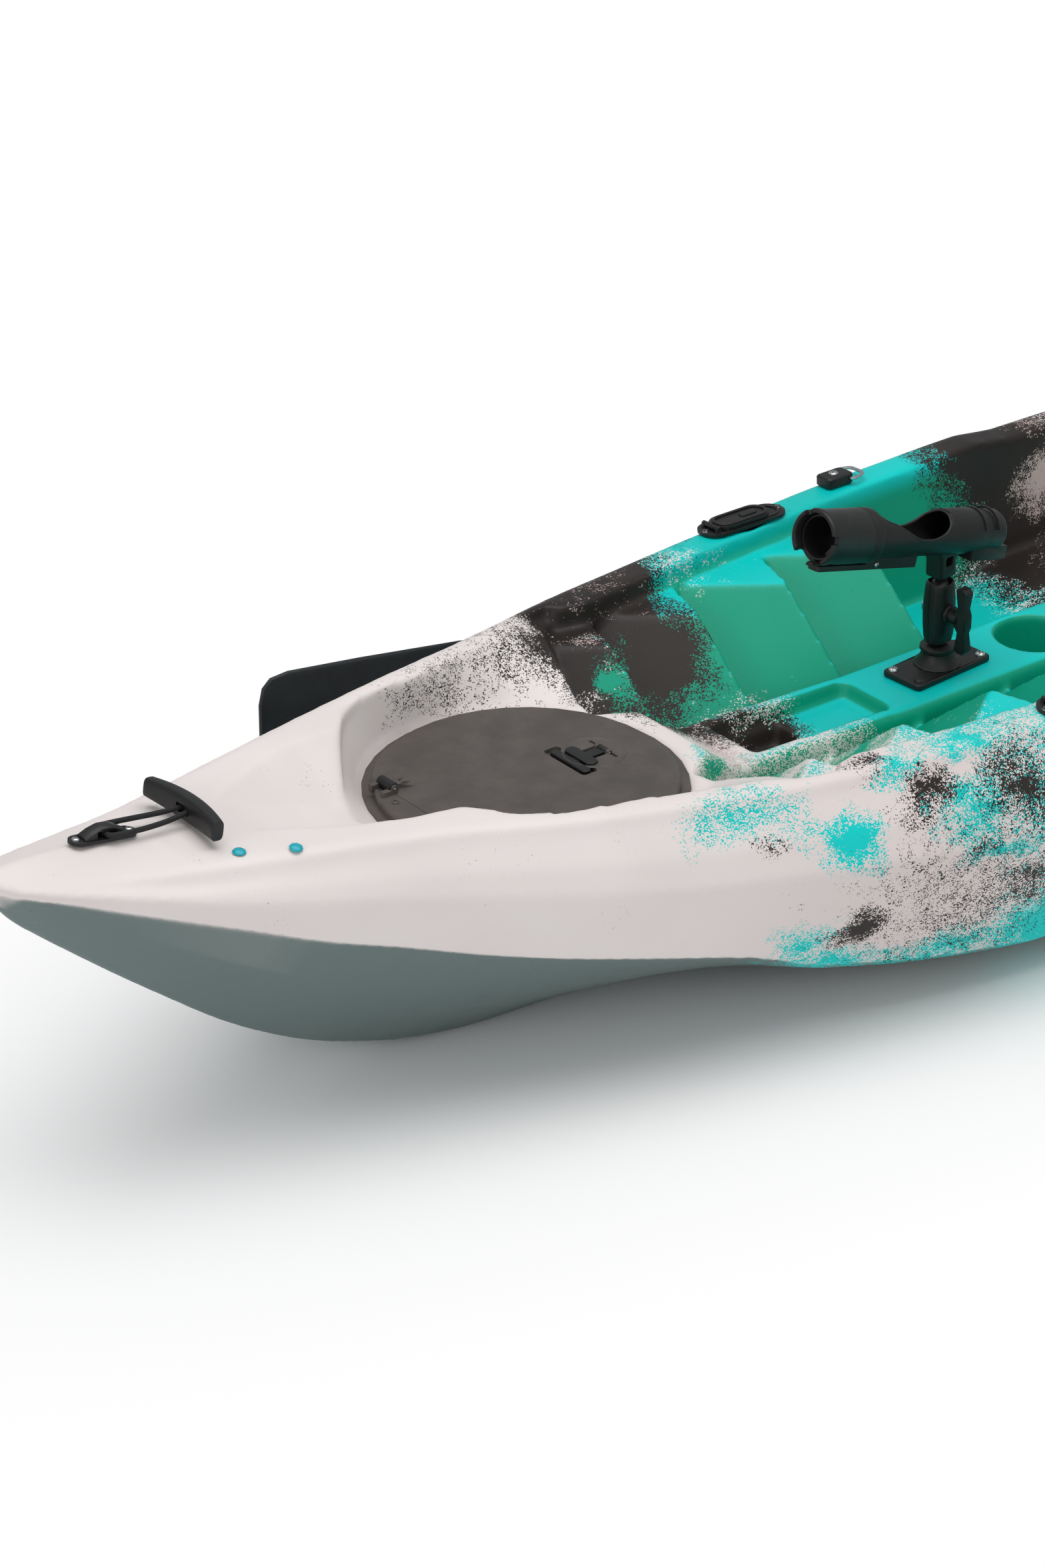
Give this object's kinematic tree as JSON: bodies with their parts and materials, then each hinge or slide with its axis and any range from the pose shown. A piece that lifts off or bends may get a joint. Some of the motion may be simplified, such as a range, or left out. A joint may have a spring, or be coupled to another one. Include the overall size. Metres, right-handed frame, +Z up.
{
  "type": "sit-on-top fishing kayak",
  "caption": "Sit-on-top fishing kayak with a round bow hatch, saw-tooth footwells, a console with tray and cup holder, an adjustable rod holder and a paddle stowed along its side.",
  "frame": {"origin": "under the hull's middle, on the flat bottom of the keel", "axes": "+X to the bow, +Y to port, +Z up; the row stands as the kayak floats"},
  "size_m": [3.5, 0.851, 0.4943],
  "materials": {
    "hull_polyethylene": "rotomoulded polyethylene in blended cream, turquoise and charcoal",
    "fitting_plastic": "moulded, satin",
    "hatch_plastic": "moulded, fine grain",
    "rubber": "matt",
    "cord_fibre": "braided cover",
    "stainless_steel": "brushed",
    "tinted_plastic": "moulded, tinted",
    "shaft_aluminium": "dark anodised",
    "blade_plastic": "moulded"
  },
  "bodies": {
    "hull": {"hull_bottom": "hull_polyethylene", "deck_bow": "hull_polyethylene", "deck_footwells": "hull_polyethylene", "deck_seat": "hull_polyethylene", "deck_stern": "hull_polyethylene", "pad_eye_bow": "fitting_plastic", "pad_eye_stern": "fitting_plastic", "hatch_rim": "hatch_plastic", "hatch_gasket": "rubber", "hinge_pin_port": "stainless_steel", "hinge_pin_starboard": "stainless_steel", "rod_base_plate": "fitting_plastic", "base_screw_fore": "stainless_steel", "base_screw_aft": "stainless_steel", "flush_tube_port_fore": "fitting_plastic", "flush_tube_port_aft": "fitting_plastic", "flush_tube_starboard_fore": "fitting_plastic", "flush_tube_starboard_aft": "fitting_plastic", "eyelet_port": "fitting_plastic", "eyelet_starboard": "fitting_plastic", "blank_screw_fore": "tinted_plastic", "blank_screw_aft": "tinted_plastic", "side_mount_port": "fitting_plastic", "side_mount_starboard": "fitting_plastic", "tank_bungee": "cord_fibre", "bungee_hook_port_fore": "fitting_plastic", "bungee_hook_port_aft": "fitting_plastic", "bungee_hook_starboard_fore": "fitting_plastic", "bungee_hook_starboard_aft": "fitting_plastic", "paddle_clip_fore": "rubber", "paddle_clip_aft": "rubber"},
    "lid": {"hatch_lid": "hatch_plastic", "latch_pin": "stainless_steel"},
    "latch": {"hatch_latch": "fitting_plastic"},
    "handle_bow": {"cord_loop_bow": "cord_fibre", "t_grip_bow": "fitting_plastic"},
    "handle_stern": {"cord_loop_stern": "cord_fibre", "t_grip_stern": "fitting_plastic"},
    "rod_clamp": {"clamp_half_port": "fitting_plastic", "clamp_half_starboard": "fitting_plastic", "clamp_bolt": "stainless_steel"},
    "knob": {"clamp_knob": "fitting_plastic"},
    "rod_holder": {"rod_tube": "fitting_plastic"},
    "collar": {"rod_collar": "fitting_plastic"},
    "cap_port_fore": {"flush_cap_port_fore": "fitting_plastic"},
    "cap_port_aft": {"flush_cap_port_aft": "fitting_plastic"},
    "cap_starboard_fore": {"flush_cap_starboard_fore": "fitting_plastic"},
    "cap_starboard_aft": {"flush_cap_starboard_aft": "fitting_plastic"},
    "ring_port": {"d_ring_port": "stainless_steel"},
    "ring_starboard": {"d_ring_starboard": "stainless_steel"},
    "grip_port": {"side_grip_port": "fitting_plastic"},
    "grip_starboard": {"side_grip_starboard": "fitting_plastic"},
    "drain": {"drain_plug": "fitting_plastic"},
    "paddle": {"paddle_blade_fore": "blade_plastic", "paddle_blade_aft": "blade_plastic", "paddle_shaft_fore": "shaft_aluminium", "paddle_shaft_aft": "shaft_aluminium", "drip_ring_fore": "rubber", "drip_ring_aft": "rubber"}
  },
  "joints": [
    {"name": "hatch_hinge", "type": "hinge", "parent": "hull", "child": "lid", "pos_m": [1.17205, 0, 0.282], "axis": [0, 1, 0], "range_deg": [0, 72]},
    {"name": "latch_turn", "type": "hinge", "parent": "lid", "child": "latch", "pos_m": [0.91805, 0, 0.275], "axis": [0, -1, 0], "range_deg": [0, 100]},
    {"name": "bow_handle_swing", "type": "hinge", "parent": "hull", "child": "handle_bow", "pos_m": [1.60081, 0, 0.39682], "axis": [0, 1, 0], "range_deg": [0, 150]},
    {"name": "stern_handle_swing", "type": "hinge", "parent": "hull", "child": "handle_stern", "pos_m": [-1.60124, 0.00006, 0.36283], "axis": [0.0006, -1, 0.0069], "range_deg": [0, 150]},
    {"name": "rod_swivel", "type": "hinge", "parent": "hull", "child": "rod_clamp", "pos_m": [0.40005, 0, 0.26735], "axis": [0, 0, 1], "continuous": true},
    {"name": "rod_tilt", "type": "hinge", "parent": "rod_clamp", "child": "rod_holder", "pos_m": [0.40005, 0, 0.32735], "axis": [-0.0785, 0.9969, 0], "range_deg": [-15, 15]},
    {"name": "knob_turn", "type": "hinge", "parent": "rod_clamp", "child": "knob", "pos_m": [0.40005, 0, 0.29735], "axis": [-0.0785, 0.9969, 0], "continuous": true},
    {"name": "collar_turn", "type": "hinge", "parent": "rod_holder", "child": "collar", "pos_m": [0.40005, 0, 0.40135], "axis": [0.9597, 0.0755, 0.2706], "range_deg": [0, 90]},
    {"name": "cap_hinge_port_fore", "type": "hinge", "parent": "hull", "child": "cap_port_fore", "pos_m": [0.503, 0.30375, 0.32611], "axis": [0, 0.9986, -0.0519], "range_deg": [0, 120]},
    {"name": "cap_hinge_port_aft", "type": "hinge", "parent": "hull", "child": "cap_port_aft", "pos_m": [-0.51899, 0.31398, 0.31554], "axis": [-0.0001, 0.997, -0.0769], "range_deg": [0, 120]},
    {"name": "cap_hinge_starboard_fore", "type": "hinge", "parent": "hull", "child": "cap_starboard_fore", "pos_m": [0.503, -0.30375, 0.32611], "axis": [0, 0.9986, 0.0519], "range_deg": [0, 120]},
    {"name": "cap_hinge_starboard_aft", "type": "hinge", "parent": "hull", "child": "cap_starboard_aft", "pos_m": [-0.51899, -0.31398, 0.31554], "axis": [0.0001, 0.997, 0.0769], "range_deg": [0, 120]},
    {"name": "ring_swing_port", "type": "hinge", "parent": "hull", "child": "ring_port", "pos_m": [0.27405, 0.31978, 0.32573], "axis": [0, 0.998, -0.0635], "range_deg": [0, 150]},
    {"name": "ring_swing_starboard", "type": "hinge", "parent": "hull", "child": "ring_starboard", "pos_m": [0.27405, -0.31978, 0.32573], "axis": [0, 0.998, 0.0635], "range_deg": [0, 150]},
    {"name": "grip_swing_port", "type": "hinge", "parent": "hull", "child": "grip_port", "pos_m": [-0.10505, 0.37653, 0.27158], "axis": [1, 0.0063, 0], "range_deg": [0, 90]},
    {"name": "grip_swing_starboard", "type": "hinge", "parent": "hull", "child": "grip_starboard", "pos_m": [-0.10505, -0.37642, 0.27158], "axis": [-1, 0.0064, 0], "range_deg": [0, 90]},
    {"name": "drain_turn", "type": "hinge", "parent": "hull", "child": "drain", "pos_m": [-1.4175, 0, 0.33722], "axis": [0.0917, 0.0124, 0.9957], "continuous": true},
    {"name": "paddle_lift", "type": "slide", "parent": "hull", "child": "paddle", "axis": [0, 0, 1], "range_m": [0, 0.03]}
  ]
}
